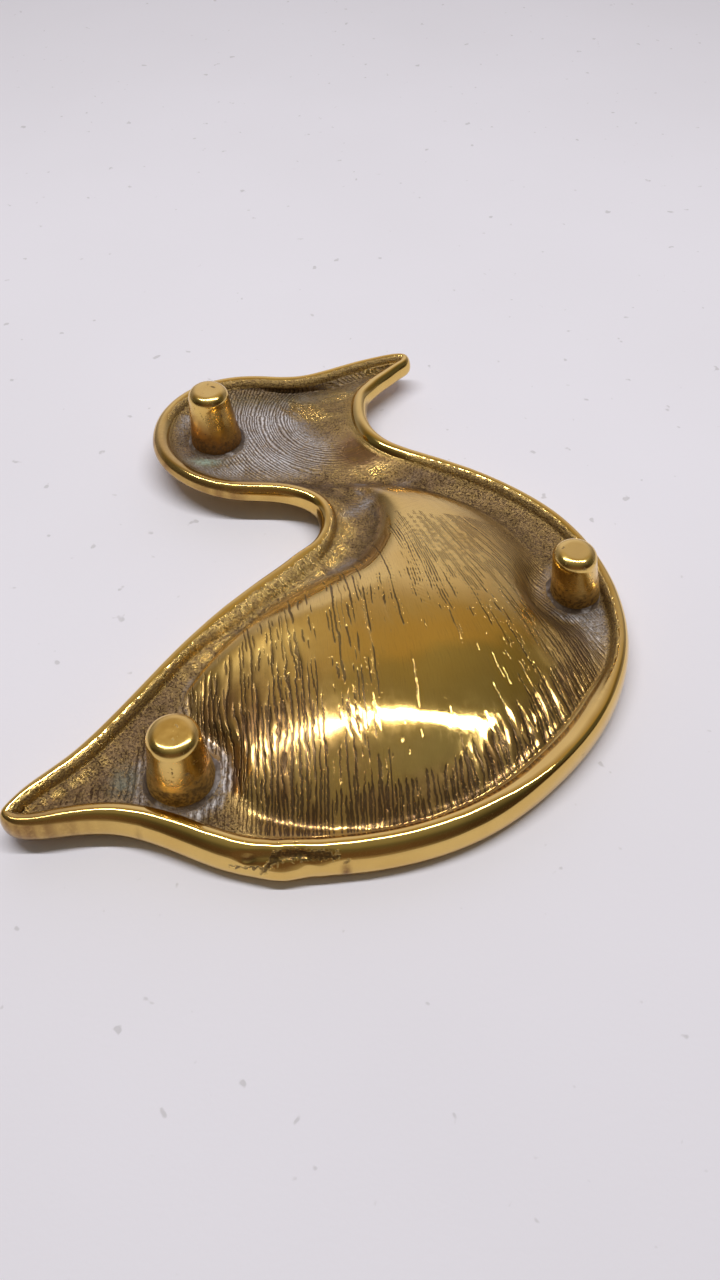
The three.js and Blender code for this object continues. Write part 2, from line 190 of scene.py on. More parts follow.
def rim_form(station, on_belly):
    """Width of the rim, the place of its crest across it and the turn of its inner side."""
    tip = smooth(station / 3) * smooth((COUNT - station) / 5)
    belly = between(station, 2, 6) * (1 - between(station, 8.5, 12.5)) * on_belly
    back = between(station, 5.8, 7.4) * (1 - between(station, 10.8, 13)) * (1 - on_belly)
    right = between(station, 9.0, 10.2) * (1 - between(station, 10.9, 11.8)) * on_belly
    back = np.maximum(back, 0.85 * right)
    width = mix(3.4, mix(mix(4.3, 6.2, belly), 6.4, back), tip)
    return width, mix(mix(0.46, 0.66, belly), 0.29, back), mix(1.2, 0.7, back)


# Section of the rim, from the panel over the bead and round the lip to the edge of the face
INNER, OUTER, UNDER, LIP = 7, 13, 4, 2


def rim_section(position):
    on_belly = position > COUNT
    station = np.where(on_belly, 2 * COUNT - position, position)
    edge, inward = outline(position)
    x, y = edge[:, 0], edge[:, 1]
    width, crest, turn = rim_form(station, on_belly)
    head, tail = headward(x, y), tailward(x)
    lip = 5.0 * head + 2.4 * tail
    height = 8.0 - 3.4 * head - 1.4 * tail
    top = lip + height
    crest, foot = crest * width, 0.3 * width
    widest = lip + 0.32 * height
    drop = mix(2.2, 1.75, head)
    panel = top - drop
    face = panel - mix(2.7, 2.2, head)
    depths, levels = [], []
    for k in range(INNER, 0, -1):
        angle = turn * k / INNER
        depths.append(crest + (width - crest) * np.sin(angle) / np.sin(turn))
        levels.append(top - drop * (1 - np.cos(angle)) / (1 - np.cos(turn)))
    for k in range(OUTER):
        angle = math.pi / 2 * k / OUTER
        depths.append(crest * (1 - math.sin(angle)))
        levels.append(widest + (top - widest) * math.cos(angle))
    for k in range(UNDER):
        angle = math.pi / 2 * k / UNDER
        depths.append(foot * (1 - math.cos(angle)))
        levels.append(widest - (widest - lip) * math.sin(angle))
    for k in range(LIP + 1):
        angle = math.pi / 2 * k / LIP
        depths.append(foot + (0.88 * width - foot) * math.sin(angle))
        levels.append(lip + (face - lip) * (1 - math.cos(angle)))
    depth, level = np.array(depths).T, np.array(levels).T
    points = np.empty(depth.shape + (3,))
    points[..., :2] = edge[:, None] + inward[:, None] * depth[..., None]
    points[..., 2] = level
    return points


RIM_POINTS = INNER + OUTER + UNDER + LIP + 1


# Bowl: the bulge of its underside and the channel round it
BOWL_START, BOWL_END = 5.5, 15.2


def along_bowl(station):
    return (station - BOWL_START) / (BOWL_END - BOWL_START)


def bulge_sides(station, length):
    limit = 0.24 * length
    margin = 7.6 + 8.8 * clamp(along_bowl(station)) ** 2
    back = np.minimum(margin - rim_form(station, 0)[0], limit)
    belly = np.minimum(0.9 + 9.6 * between(station, 11.2, 13.4), limit)
    return back / length, 1 - belly / length


def bowl_out(station, across, length):
    """0 on the crown of the bulge, 1 on its edge."""
    start, end = bulge_sides(station, length)
    along = along_bowl(station)
    crest = 0.25 + 0.17 * (clamp(along) - 0.5)
    beyond = (across - start) / (end - start) - crest
    sideways = np.where(beyond < 0, -beyond / crest, beyond / (1 - crest))
    return (sideways**4.2 + np.abs(2 * along - 1) ** 4.2) ** (1 / 4.2)


def bowl_rise(station, across, length, x, y, near, far):
    out = np.minimum(bowl_out(station, across, length), 1.0)
    breast = FEET[1][1]
    hollow = between(np.hypot(x - breast[0], y - breast[1]), near, far)
    return 9.7 * (1 - out**2.15) ** 0.9 * hollow


def panel_sink(x, y, across, length):
    near = np.minimum(across, 1 - across) * length
    return mix(1.2, 1.9, headward(x, y)) * (1 - np.exp(-((near / 7.0) ** 1.5)))


def levelled(x, y, z):
    for name, base, _, radius, _ in FEET:
        flat = radius + RING_WIDTH + 1.2
        away = np.hypot(x - base[0], y - base[1])
        z = mix(SEAT_LEVEL[name] - SEAT_STEP, z, between(away, flat, flat + 4.5))
    return z


def columns():
    """Stations of the mesh columns, closest together where the bulge's comb marks run."""
    fine = np.linspace(0, COUNT, 26 * 400 + 1)
    back, _ = outline(fine)
    belly, _ = outline(2 * COUNT - fine)
    step = np.maximum(
        np.linalg.norm(np.diff(back, axis=0), axis=1), np.linalg.norm(np.diff(belly, axis=0), axis=1)
    )
    middle = (fine[1:] + fine[:-1]) / 2
    bowl = between(middle, 3.0, 5.5) * (1 - between(middle, 15.0, 17.5))
    travel = np.concatenate([[0], np.cumsum(step / mix(0.80, 0.44, bowl))])
    return np.interp(np.linspace(0, travel[-1], int(travel[-1]) + 1), travel, fine)


def grid_object(name, points, faces, smooth_faces=True):
    mesh = bpy.data.meshes.new(name)
    mesh.from_pydata((np.asarray(points) * MM).tolist(), [], faces)
    mesh.polygons.foreach_set("use_smooth", [smooth_faces] * len(mesh.polygons))
    mesh.update()
    obj = bpy.data.objects.new(name, mesh)
    bpy.context.scene.collection.objects.link(obj)
    return obj


def paint(obj, name, values):
    """Stores a number or a vector at each point for the material to read."""
    kind = "FLOAT" if values.ndim == 1 else "FLOAT_VECTOR"
    layer = obj.data.attributes.new(name, kind, "POINT")
    key = "value" if values.ndim == 1 else "vector"
    layer.data.foreach_set(key, np.ascontiguousarray(values, dtype=np.float32).ravel())


# Flow of the tool marks: one number that stays the same along a mark, one that runs along it
SLANT_X = np.linspace(-90.0, 90.0, 361)
SLANT_TABLE = np.concatenate(
    [[0], np.cumsum(0.5 / (0.13 + 0.36 * between((SLANT_X[1:] + SLANT_X[:-1]) / 2, 10, 45)))]
)
FLOW_LINE = -30.0
HEAD_CENTRE = (-1.7, 52.0)


def comb_flow(x, y):
    """The marks run from back to belly, more slanted towards the breast and the neck."""
    drift = 45.0 * (np.exp((y - FLOW_LINE) / 45.0) - 1)
    start = np.interp(np.interp(x, SLANT_X, SLANT_TABLE) + drift, SLANT_TABLE, SLANT_X)
    return start, 0.35 * x - y


def arc_flow(x, y):
    """In the head the marks are arcs about one centre."""
    x, y = x - HEAD_CENTRE[0], y - HEAD_CENTRE[1]
    return np.hypot(x, y), 18.0 * np.arctan2(y, x)


def comb(start, along, pitch, reach, seed, share):
    """One row of grooves side by side. Returns a count that is a whole number in the middle of
    each groove, how strong the groove is at each place, and how deep it cuts."""
    count = start / pitch + 0.60 * noise(start / (3 * pitch), along / 11, seed)
    count = count + 0.20 * noise(start / (1.3 * pitch), along / 4, seed + 1)
    count = count + 0.15 * noise(start / pitch, along / 1.5, seed + 4)
    row = np.round(count)
    own = 2 * lattice(row.astype(np.int64), 0 * row.astype(np.int64), seed + 2) - 1
    stretch = 0.75 * own + noise(row * 7.31, along / reach, seed + 3)
    here = between(stretch + 2.2 * (share - 0.5), -0.1, 0.55)
    depth = here * np.exp(-(((count - row) / 0.24) ** 2))
    return count, here, depth


# The casting
TOP_ROWS = 80
FACE_ROWS = 12


def blurred(grid, rounds):
    """A grid of heights with its creases smoothed out."""
    for _ in range(rounds):
        grid = grid * 1.0
        grid[1:-1] = (grid[:-2] + 2 * grid[1:-1] + grid[2:]) / 4
        grid[:, 1:-1] = (grid[:, :-2] + 2 * grid[:, 1:-1] + grid[:, 2:]) / 4
    return grid


class Underside:
    """Grid of the underside between the two rims: places, and the masks that mark it."""

    def __init__(self, stations, back, belly):
        start, end = back[:, 0], belly[:, 0]
        length = np.maximum(np.linalg.norm(end[:, :2] - start[:, :2], axis=1), 1e-3)
        low, high = bulge_sides(stations, length)
        inner = np.linspace(0, 1, TOP_ROWS - 8)
        inner = mix(inner, (1 - np.cos(math.pi * inner)) / 2, 0.3)
        margin = np.linspace(0, 1, 6)[None, 1:5]
        across = np.concatenate(
            [
                low[:, None] * margin,
                low[:, None] + (high - low)[:, None] * inner[None],
                high[:, None] + (1 - high)[:, None] * margin,
            ],
            axis=1,
        )
        self.across = across
        self.station = np.repeat(stations[:, None], TOP_ROWS, 1)
        self.span = np.repeat(length[:, None], TOP_ROWS, 1)
        self.x, self.y, level = (mix(start[:, None, k], end[:, None, k], across) for k in range(3))
        level = level - panel_sink(self.x, self.y, across, self.span)
        level = level + bowl_rise(self.station, across, self.span, self.x, self.y, 6.5, 16.0)
        self.out = bowl_out(self.station, across, self.span)
        fillet = np.exp(-(((self.out - 1.0) / 0.07) ** 2)) * ((across > 0.5) + (self.station > 6.5) > 0)
        level = mix(level, blurred(level, 10), fillet)
        corner = between(self.station, 12.0, 13.4) * np.exp(-(((self.out - 1.0) / 0.16) ** 2))
        level = mix(level, blurred(level, 70), corner)
        self.z = levelled(self.x, self.y, level)
        self.masks()

    def masks(self):
        x, y, station = self.x, self.y, self.station
        to_belly = (1 - self.across) * self.span
        belly_side = between(self.across, 0.6, 0.75) * between(station, 5.6, 6.8)
        belly_side = belly_side * (1 - between(station, 11.0, 12.6))
        self.inside = np.maximum(1 - between(self.out, 0.94, 1.01), belly_side)
        self.edge = np.minimum(self.across, 1 - self.across) * self.span
        self.seat = np.ones_like(x)
        for name, base, _, radius, _ in FEET:
            away = np.hypot(x - base[0], y - base[1])
            self.seat *= between(away, radius + 0.8, radius + 2.6)
        self.free = smooth(self.edge / 1.4) * self.seat
        self.head = between(station, 15.6, 17.2)
        self.tail = 1 - between(station, 5.2, 6.4)
        spot = np.exp(-((((x - 24) / 15) ** 2 + ((y + 35) / 17) ** 2) ** 1.5))
        upper = np.exp(-((((x - 30) / 19) ** 2 + ((y + 1) / 17) ** 2) ** 1.5))
        self.left = 1 - between(x + 0.25 * y, -34, 16)
        low = 1 - between(to_belly, 6, 12.5)
        self.right = between(1.5 * x + 0.6 * y, 30, 62)
        self.slope = between(to_belly, 3, 9) * between(x + 0.4 * y, 24, 42)
        self.slope = self.slope * (1 - between(to_belly, 13, 30))
        low_side, _ = bulge_sides(station, self.span)
        skin = (self.across - low_side) * self.span + 2.2 * noise(x / 3, y / 3, 9)
        skin = between(skin + 3.5 * between(station, 9.5, 11.5), 2.0, 6.5)
        sunk = between(-y, 24, 44)
        right_film = self.right * mix(0.45, 0.8, between(-y, 6, 20))
        self.film = np.maximum.reduce([self.left * skin * mix(0.08, 1.0, sunk), 0.9 * low, right_film])
        left_marks = self.left * mix(0.42, 1.0, between(-y, 26, 46))
        long_marks = np.maximum.reduce([0.26 + 0 * x, left_marks, 0.85 * low, 0.55 * self.right])
        self.long_marks = long_marks * (1 - 0.97 * spot) * (1 - 0.55 * upper) * skin
        short_marks = np.maximum.reduce(
            [0.42 + 0 * x, 0.62 * self.left, low, self.right, 0.78 * upper]
        )
        self.short_marks = short_marks * (1 - 0.85 * spot) * skin
        self.low = low
        self.bold = np.maximum(left_marks, 0.8 * low)
        satin = np.maximum.reduce([self.left * mix(1.0, 0.12, sunk), 0.75 * upper, 0.45 * self.right])
        self.satin = satin * (1 - 0.9 * spot) * self.inside


def mark_underside(top):
    """Presses the tool marks into the underside and returns what the material needs."""
    x, y, inside = top.x, top.y, top.inside
    u, v = comb_flow(x, y)
    fine_pitch = 0.85
    long_count, long_here, long_depth = comb(u, v, 1.35, 11, 11, top.long_marks)
    short_count, short_here, short_depth = comb(u, v, fine_pitch, 3.0, 21, top.short_marks)
    long_amount = inside * smooth(top.long_marks / 0.45)
    short_amount = inside * smooth(top.short_marks / 0.35)
    ridge = noise(u / 2.3, v / 16, 31) + 0.6 * noise(u / 0.9, v / 7, 32)
    dome = 0.085 * ridge * np.maximum(long_amount, 0.6 * short_amount)
    relief = np.maximum.reduce([top.left, top.low, top.right]) * inside
    dome = dome * mix(0.30, 0.62, relief)
    dome = dome - 0.14 * long_amount * long_depth
    dome = dome - 0.10 * short_amount * short_depth * mix(0.25, 1.0, relief)
    dome = dome + 0.05 * np.maximum(top.low, 0.5 * top.left) * inside * noise(u / 1.4 + v / 9, v / 3.6, 33)
    foot_fold = np.exp(-(((top.out - 0.93) / 0.06) ** 2)) * (top.across < 0.5)
    foot_fold = foot_fold * between(top.station, 6.4, 7.4) * (1 - between(top.station, 12.5, 14.2))
    dome = dome + 0.16 * foot_fold * noise(x / 2.2, y / 2.2, 34)

    # Tail: bars across, with scratches between
    bars = noise(x / 1.7 + 0.2 * y, y / 9, 41)
    scratch = noise((x + y) / 0.8, (x - y) / 3.4, 42)
    tail = top.tail * (0.12 * bars + 0.06 * scratch)

    # Head and neck: arcs about one centre
    ring, turn = arc_flow(x, y)
    arc_share = between(ring, 4, 10) * (1 - between(ring, 30, 42))
    arc_count, arc_here, arc_depth = comb(ring, turn, 0.76, 7, 51, 0.75 + 0.3 * arc_share)
    arc_zone = top.head * (1 - inside) * between(ring, 8, 15) * arc_share
    neck = between(top.station, 13.6, 15.0) * (1 - inside) * (1 - 0.8 * top.head)
    arc_amount = np.maximum(arc_zone, 0.35 * neck)
    head = arc_amount * (0.06 * noise(ring / 0.8, turn / 12, 52) - 0.10 * arc_depth)

    # Grit of the cast surface, and a slow unevenness
    grain = rough_noise(x / 0.8, y / 0.8, 61, 2)
    slope_grain = rough_noise(x / 0.55 + 0.4 * y, y / 1.1, 62, 2)
    gritty = (1 - inside) * (1 - 0.6 * top.head)
    uneven = 0.07 * rough_noise(x / 14, y / 14, 63, 2) * inside + 0.07 * noise(x / 4, y / 4, 64) * gritty
    top.z = top.z + top.free * (dome + tail + head + uneven + gritty * (0.06 * grain + 0.05 * slope_grain))

    foot_line = np.exp(-(((top.out - 1.03) / 0.07) ** 2)) * between(top.station, 5.0, 6.4)
    foot_line = foot_line * (1 - between(top.station, 15.3, 16.2)) * (top.across < 0.5)
    low_edge = inside * top.low * between(top.out, 0.6, 1.0)
    dark = np.maximum.reduce(
        [
            0.75 * foot_line,
            0.80 * np.exp(-(((top.out - 0.96) / 0.12) ** 2)) * between(top.station, 10.0, 12.5) * (top.across < 0.5),
            0.80 * top.tail,
            0.50 * top.slope * inside,
            0.30 * low_edge,
            (0.78 + 0.30 * noise(u / 2.5, v / 8, 66)) * inside * top.film,
            0.75 * np.exp(-((top.edge / 2.6) ** 2)) * between(top.station, 12.6, 14.0) * (1 - top.head),
            0.75 * np.exp(-((top.edge / 2.6) ** 2)) * between(top.station, 14.8, 16) * (top.across > 0.5),
            0.60 * gritty,
            0.85 * neck * between(noise(x / 6, y / 6, 65), -0.9, 0.2),
            0.55 * top.head * (1 - 0.4 * between(x, -2, 6)),
            0.75 * top.head * between(y - 0.12 * x, 57, 63) * (1 - 0.7 * between(x, -8, 2)),
        ]
    )
    worn = np.maximum(0.55 * long_amount * top.long_marks, 0.45 * short_amount * top.short_marks)
    shoulder = np.exp(-(((top.out - 0.97) / 0.13) ** 2)) * between(top.station, 10.0, 12.5)
    shoulder = shoulder * (top.across < 0.5)
    polish = inside * clamp(1 - 0.38 * worn) * (1 - 0.6 * top.slope) * (1 - 0.65 * shoulder)
    neck_gold = np.exp(-(((x - 5) / 9) ** 2 + ((y - 38) / 8) ** 2)) * (1 - inside)
    polish = np.maximum(polish, 0.78 * neck_gold)
    dark = np.maximum(dark, 1.30 * neck_gold)
    # Glints: smoother, raised places whose colour is also painted lighter, a painted highlight
    glint = np.exp(-(((x + 9) / 7) ** 2 + ((y - 53.5 + 0.3 * (x + 9)) / 4) ** 2))
    glint = np.maximum(glint, np.exp(-(((x + 0.5) / 5) ** 2 + ((y - 58.5) / 2.6) ** 2)))
    glint = np.maximum(glint, 0.75 * np.exp(-(((x - 8.0) / 4.0) ** 2 + ((y - 31.0) / 2.2) ** 2)))
    glint = np.maximum(glint, 0.45 * top.head * np.exp(-(((x - 9) / 7) ** 2 + ((y - 69) / 3) ** 2)))
    tail_edge = np.exp(-(((top.across * top.span - 3) / 2.5) ** 2)) * (1 - between(top.station, 3.2, 4.6))
    glint = np.maximum(glint, 0.50 * tail_edge)
    channel = gritty * (top.across < 0.5) * (1 - top.tail) * (1 - between(top.station, 13.5, 15))
    glint = np.maximum(glint, 0.75 * channel * np.exp(-(((top.edge - 2.2) / 1.8) ** 2)))
    glint = clamp(1.5 * glint) * between(glint + 0.8 * noise(x / 1.1 + y / 2, y / 2.2, 74), -0.1, 0.7)

    # Pale residue lies in the head, round the feet and in the throat
    head_foot = np.hypot(x + 31.8, y - 41.6)
    residue = top.head * between(ring, 6, 12) * (1 - between(ring, 26, 38))
    residue = residue * (0.80 + 0.35 * noise(x / 5, y / 5, 71))
    residue = np.maximum(residue, 0.8 * top.head * between(head_foot, 8.5, 11) * (x < -24) * (y < 50))
    residue = residue * (1 - between(y - 0.12 * x, 55, 62) * 0.9) * (1 - 0.85 * glint) * (1 - neck_gold)
    residue = residue * (1 - 0.85 * between(x - 0.5 * y, -30, -16))
    for (_, base, _, radius, _), amount in zip(FEET, (1.0, 0.9, 1.0)):
        away = np.hypot(x - base[0], y - base[1]) - radius
        crust = np.exp(-(((away - 2.0) / 1.3) ** 2)) * (0.85 + 0.7 * noise(x / 1.7, y / 1.7, 72))
        side = 0.35 + 0.65 * between((x - base[0]) - (y - base[1]), -6, 7)
        residue = np.maximum(residue, amount * crust * side)
    throat = np.exp(-(((x - 5.8) / 8) ** 2 + ((y - 19.0 - 0.8 * (x - 5.8)) / 1.5) ** 2))
    back = foot_line * between(noise(x / 5, y / 5, 73), 0.1, 0.6) * 0.5
    wall = 0.90 * np.exp(-(((x - 55.5) / 4.0) ** 2 + ((y + 18) / 8) ** 2)) * (1 - 0.6 * inside)
    residue = np.maximum.reduce([residue, 0.8 * throat * (1 - 0.6 * inside), back, wall])
    green = np.exp(-(((x + 34.0) / 3.2) ** 2 + ((y - 33.4) / 1.5) ** 2))
    green = np.maximum(green, 0.3 * np.exp(-(((x + 41.0) / 2.6) ** 2 + ((y + 57.0) / 3.5) ** 2)))
    green = np.maximum(green, 0.12 * top.head * np.exp(-(((y - 0.1 * x - 60) / 2.5) ** 2)))

    # Painted shadow round the base of the head foot: the colour is darkened and the residue thinned there
    shade = np.exp(-(((head_foot - 7.6) / 2.4) ** 2)) * between(-x - 0.9 * y, -14, 4)
    dark = np.maximum(dark, 0.95 * shade)
    residue = residue * (1 - 0.75 * shade)
    in_head = top.station > 13.6
    first = np.where(in_head, arc_count, long_count)
    long_paint = long_here * long_amount * mix(0.28, 1.0, top.bold)
    first_here = np.where(in_head, 0.42 * arc_here * arc_amount, long_paint)
    first_here = np.maximum(first_here, 0.50 * top.tail * long_here)
    tail_hue = 0.5 * top.tail * between(bars, -0.1, -0.6)
    # The patina value holds real patina and film, and also the painted shadow round the head foot; painted glints
    # lighten it
    return {
        "polish": clamp(polish),
        "patina_and_shade": clamp(np.maximum(dark, tail_hue)) * (1 - 0.85 * glint),
        "residue": clamp(residue),
        "verdigris": clamp(green),
        "glint": clamp(glint),
        "satin": clamp(top.satin),
        "long_marks": np.stack([first, v, first_here * top.free], -1),
        "short_marks": np.stack(
            [
                np.where(in_head, arc_count, short_count),
                np.where(in_head, turn, v),
                np.where(in_head, 0.0, short_here * short_amount) * top.free,
            ],
            -1,
        ),
    }


def dish_face(stations, back, belly):
    start, end = back[:, -1], belly[:, -1]
    length = np.maximum(np.linalg.norm(end[:, :2] - start[:, :2], axis=1), 1e-3)
    share = np.linspace(0, 1, FACE_ROWS + 2)[1:-1]
    share = mix(share, (1 - np.cos(math.pi * share)) / 2, 0.35)
    across = np.repeat(share[None], len(stations), 0)
    station = np.repeat(stations[:, None], FACE_ROWS, 1)
    span = np.repeat(length[:, None], FACE_ROWS, 1)
    x, y, z = (mix(start[:, None, k], end[:, None, k], across) for k in range(3))
    z = z - panel_sink(x, y, across, span) + bowl_rise(station, across, span, x, y, 5.0, 30.0)
    wall = mix(2.7, 2.2, headward(x, y))
    return np.stack([x, y, levelled(x, y, z + wall) - wall], -1)


def work_bead(points):
    """Slow unevenness of the bead, and the casting flaws on its front."""
    x, y, z = points[..., 0], points[..., 1], points[..., 2]
    upper = between(z, 2.0, 5.0)
    z += upper * (0.09 * noise(x / 11, y / 11, 51) + 0.035 * noise(x / 3.5, y / 3.5, 52))
    front = (y < -55) * between(z, 0.3, 1.5)
    slit_y = -72.6 + 0.25 * noise(x / 2.0, 0 * x, 53)
    slit_reach = between(x, -19, -16) * (1 - between(x, -3, 1))
    slit = np.exp(-(((y - slit_y) / 0.55) ** 2)) * slit_reach * upper
    slit = slit * (0.75 + 0.4 * noise(x / 1.1, y / 1.1, 54))
    lump = np.exp(-(((x + 10.5) / 4.5) ** 2)) * front
    tick = np.exp(-(((x - 2.2) / 0.9) ** 2 + ((y + 74.2) / 0.8) ** 2))
    notch = np.exp(-(((x + 37.0) / 0.8) ** 2 + ((y + 68.2) / 1.4) ** 2))
    ripple = np.exp(-(((x + 6) / 9) ** 2)) * front * noise(x / 2.2, z / 1.5, 55)
    z -= 0.9 * clamp(slit) + 0.45 * tick * upper + 0.3 * notch * upper
    y -= 0.75 * lump * np.exp(-(((z - 3.0) / 2.6) ** 2)) + 0.14 * ripple
    return points, clamp(slit + tick + 0.6 * notch)


def rim_looks(stations):
    """Polish round the section of the back rim and of the belly rim."""
    section = np.arange(RIM_POINTS)[None]
    n = len(stations)
    ragged = 0.5 * noise(stations * 29, 0 * stations, 81)[:, None]
    crest = between(section + ragged, INNER - 3.0, INNER - 1.2)
    whole = between(section, -1.0, 1.2) * np.ones((n, 1))
    front = between(stations, 0.5, 3.0)[:, None] * (1 - between(stations, 10.5, 12.5)[:, None])
    throat = between(stations, 15.2, 17.0)[:, None]
    round_head = between(stations, 13.0, 14.0)[:, None] * (1 - between(stations, 18.6, 19.4)[:, None])
    back = mix(crest, whole, round_head)
    belly = mix(crest, whole, np.maximum(front, throat))
    belly = belly * (1 - 0.35 * front * (1 - between(section, 0.5, 3.0)))
    return back, belly


def low_painted_shade(stations, most):
    """Painted shade, brown, low on the outside of the rim where it reflects the shadowed paper; most of it where the
    second value says.
    """
    section = np.arange(RIM_POINTS)[None]
    amount = mix(0.10, 0.85, most)[:, None] * (0.8 + 0.3 * noise(stations * 7, 0 * stations, 82)[:, None])
    return amount * between(section, INNER + 2.0, INNER + 6.0)


def slope_glints(stations):
    """Glints in a hatch on the inner slope of the back rim, from the tail to the neck: smoother there and painted
    lighter, a painted highlight.
    """
    section = np.arange(RIM_POINTS)[None]
    hatch = between(noise(stations[:, None] * 8, section / 3, 83), -0.5, 0.5)
    reach = 1 - between(stations, 12.0, 14.5)[:, None]
    return 0.75 * hatch * reach * (1 - between(section, INNER - 3.0, INNER - 1.0))


def bead_darkening(where):
    """A light brown darkening over the whole bead, as much as the value says."""
    return 0.50 * where[:, None] * np.ones((1, RIM_POINTS))


def build_casting():
    stations = columns()
    n = len(stations)
    back, belly = rim_section(stations), rim_section(2 * COUNT - stations)
    top = Underside(stations, back, belly)
    looks = mark_underside(top)
    face = dish_face(stations, back, belly)
    back, back_flaws = work_bead(back)
    belly, belly_flaws = work_bead(belly)
    back_polish, belly_polish = rim_looks(stations)

    blank_rim, blank_face = np.zeros((n, RIM_POINTS)), np.zeros((n, FACE_ROWS))
    tail = 1 - between(stations, 2.4, 4.6)
    head = between(stations, 14.5, 16.5) * (1 - between(stations, 18.2, 19.5))
    # Rim patina: darker where unpolished, at the cast flaws, painted shade low on the outside of the bead, and a
    # darkening of the whole bead at head and tail
    rims = {
        "polish": (back_polish, belly_polish),
        "patina_and_shade": (
            np.maximum.reduce([0.25 * (1 - back_polish), back_flaws, low_painted_shade(stations, head), bead_darkening(head)]),
            np.maximum.reduce([0.25 * (1 - belly_polish), belly_flaws, low_painted_shade(stations, tail), bead_darkening(tail)]),
        ),
        "satin": (blank_rim + 0.2, blank_rim + 0.2),
        "glint": (slope_glints(stations), blank_rim),
    }
    points = np.concatenate(
        [back, face, belly[:, ::-1], np.stack([top.x, top.y, top.z], -1)[:, ::-1]], axis=1
    )
    size = points.shape[1]
    number = np.arange(n * size).reshape(n, size)
    beside = np.roll(number, -1, axis=1)
    quads = np.stack([number[:-1], beside[:-1], beside[1:], number[1:]], -1).reshape(-1, 4)
    flat = points.reshape(-1, 3) + np.array([SHIFT[0], SHIFT[1], 0.0])
    obj = grid_object("cast_duck_dish", flat, quads.tolist())
    for name, values in looks.items():
        if values.ndim == 3:
            whole = np.zeros(points.shape)
            whole[:, -TOP_ROWS:] = values[:, ::-1]
            paint(obj, name, whole.reshape(-1, 3))
            continue
        on_back, on_belly = rims.get(name, (blank_rim, blank_rim))
        on_face = blank_face + (0.9 if name == "polish" else 0.0)
        whole = np.concatenate([on_back, on_face, on_belly[:, ::-1], values[:, ::-1]], axis=1)
        paint(obj, name, whole.ravel())
    weld(obj)
    return obj


def weld(obj):
    import bmesh

    work = bmesh.new()
    work.from_mesh(obj.data)
    bmesh.ops.remove_doubles(work, verts=work.verts, dist=1e-6)
    bmesh.ops.dissolve_degenerate(work, dist=1e-7, edges=work.edges)
    bmesh.ops.recalc_face_normals(work, faces=work.faces)
    work.to_mesh(obj.data)
    work.free()


# Feet and the filler round them
def turned(name, rings, sides, shift, bumps=None):
    angles = np.linspace(0, 2 * math.pi, sides, endpoint=False)
    points, faces = [], []
    for radius, z in rings:
        cx, cy = shift(z)
        grow = radius * (1 + (bumps(angles, z) if bumps else 0 * angles))
        points += np.stack([cx + grow * np.cos(angles), cy + grow * np.sin(angles), 0 * angles + z], -1).tolist()
    for i in range(len(rings) - 1):
        for k in range(sides):
            a, b = i * sides + k, i * sides + (k + 1) % sides
            faces.append((a, b, b + sides, a + sides))
    low, high = len(points), len(points) + 1
    points.append([*shift(rings[0][1]), rings[0][1]])
    points.append([*shift(rings[-1][1]), rings[-1][1]])
    last = (len(rings) - 1) * sides
    for k in range(sides):
        faces.append((low, (k + 1) % sides, k))
        faces.append((high, last + k, last + (k + 1) % sides))
    return grid_object(name, np.array(points) + np.array([SHIFT[0], SHIFT[1], 0.0]), faces)


def build_foot(name, base, top, radius, top_radius):
    level = SEAT_LEVEL[name]
    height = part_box("foot_" + name)[1][2] / MM
    shoulder = height - FOOT_ROUND
    start = level + RING_HEIGHT

    def shift(z):
        rise = float(clamp((z - start) / (shoulder - start)))
        return mix(base[0], top[0], rise), mix(base[1], top[1], rise)

    rings = [(radius * 0.9, level - 0.6), (radius, level + 0.05), (radius, start * 0.5 + level * 0.5)]
    for k in range(13):
        t = k / 13
        rings.append((mix(top_radius, radius, (1 - t) ** 1.25), mix(start, shoulder, t)))
    for k in range(15):
        angle = math.pi / 2 * k / 14
        rings.append(
            (top_radius - FOOT_ROUND * (1 - math.cos(angle)), shoulder + FOOT_ROUND * math.sin(angle))
        )
    flat = top_radius - FOOT_ROUND
    for k in range(1, 6):
        rings.append((flat * (1 - k / 6), height))
    seed = {"tail": 71, "breast": 72, "head": 73}[name]

    def bumps(angles, z):
        return 0.012 * noise(np.cos(angles) * 2 + z / 5, np.sin(angles) * 2, seed)

    return turned("foot_peg_" + name, rings, 96, shift, bumps)


def build_filler(name, base, radius):
    level = SEAT_LEVEL[name]
    sides, steps = 96, 8
    seed = {"tail": 81, "breast": 82, "head": 83}[name]
    points, faces = [], []
    angles = np.linspace(0, 2 * math.pi, sides, endpoint=False)
    inner = radius - 0.15
    for k in range(steps + 1):
        t = k / steps
        wide = RING_WIDTH + 0.25 + 0.35 * noise(np.cos(angles) * 2.5, np.sin(angles) * 2.5, seed)
        out = inner + wide * (1 - math.sin(math.pi / 2 * t))
        lift = 0.95 * RING_HEIGHT * (1 - math.cos(math.pi / 2 * t)) - 0.30 * (1 - t) ** 2
        crust = 0.12 * noise(np.cos(angles) * 9, np.sin(angles) * 9 + 3 * t, seed + 5) * math.sin(math.pi * t)
        z = level + lift + crust
        points += np.stack([base[0] + out * np.cos(angles), base[1] + out * np.sin(angles), z], -1).tolist()
    bottom = len(points)
    z = 0 * angles + level - 0.3
    points += np.stack([base[0] + inner * np.cos(angles), base[1] + inner * np.sin(angles), z], -1).tolist()
    for k in range(steps + 1):
        for i in range(sides):
            j = (i + 1) % sides
            low = k * sides
            high = (k + 1) * sides if k < steps else bottom
            faces.append((low + i, low + j, high + j, high + i))
    for i in range(sides):
        j = (i + 1) % sides
        faces.append((bottom + i, bottom + j, j, i))
    return grid_object(
        "filler_ring_" + name, np.array(points) + np.array([SHIFT[0], SHIFT[1], 0.0]), faces
    )


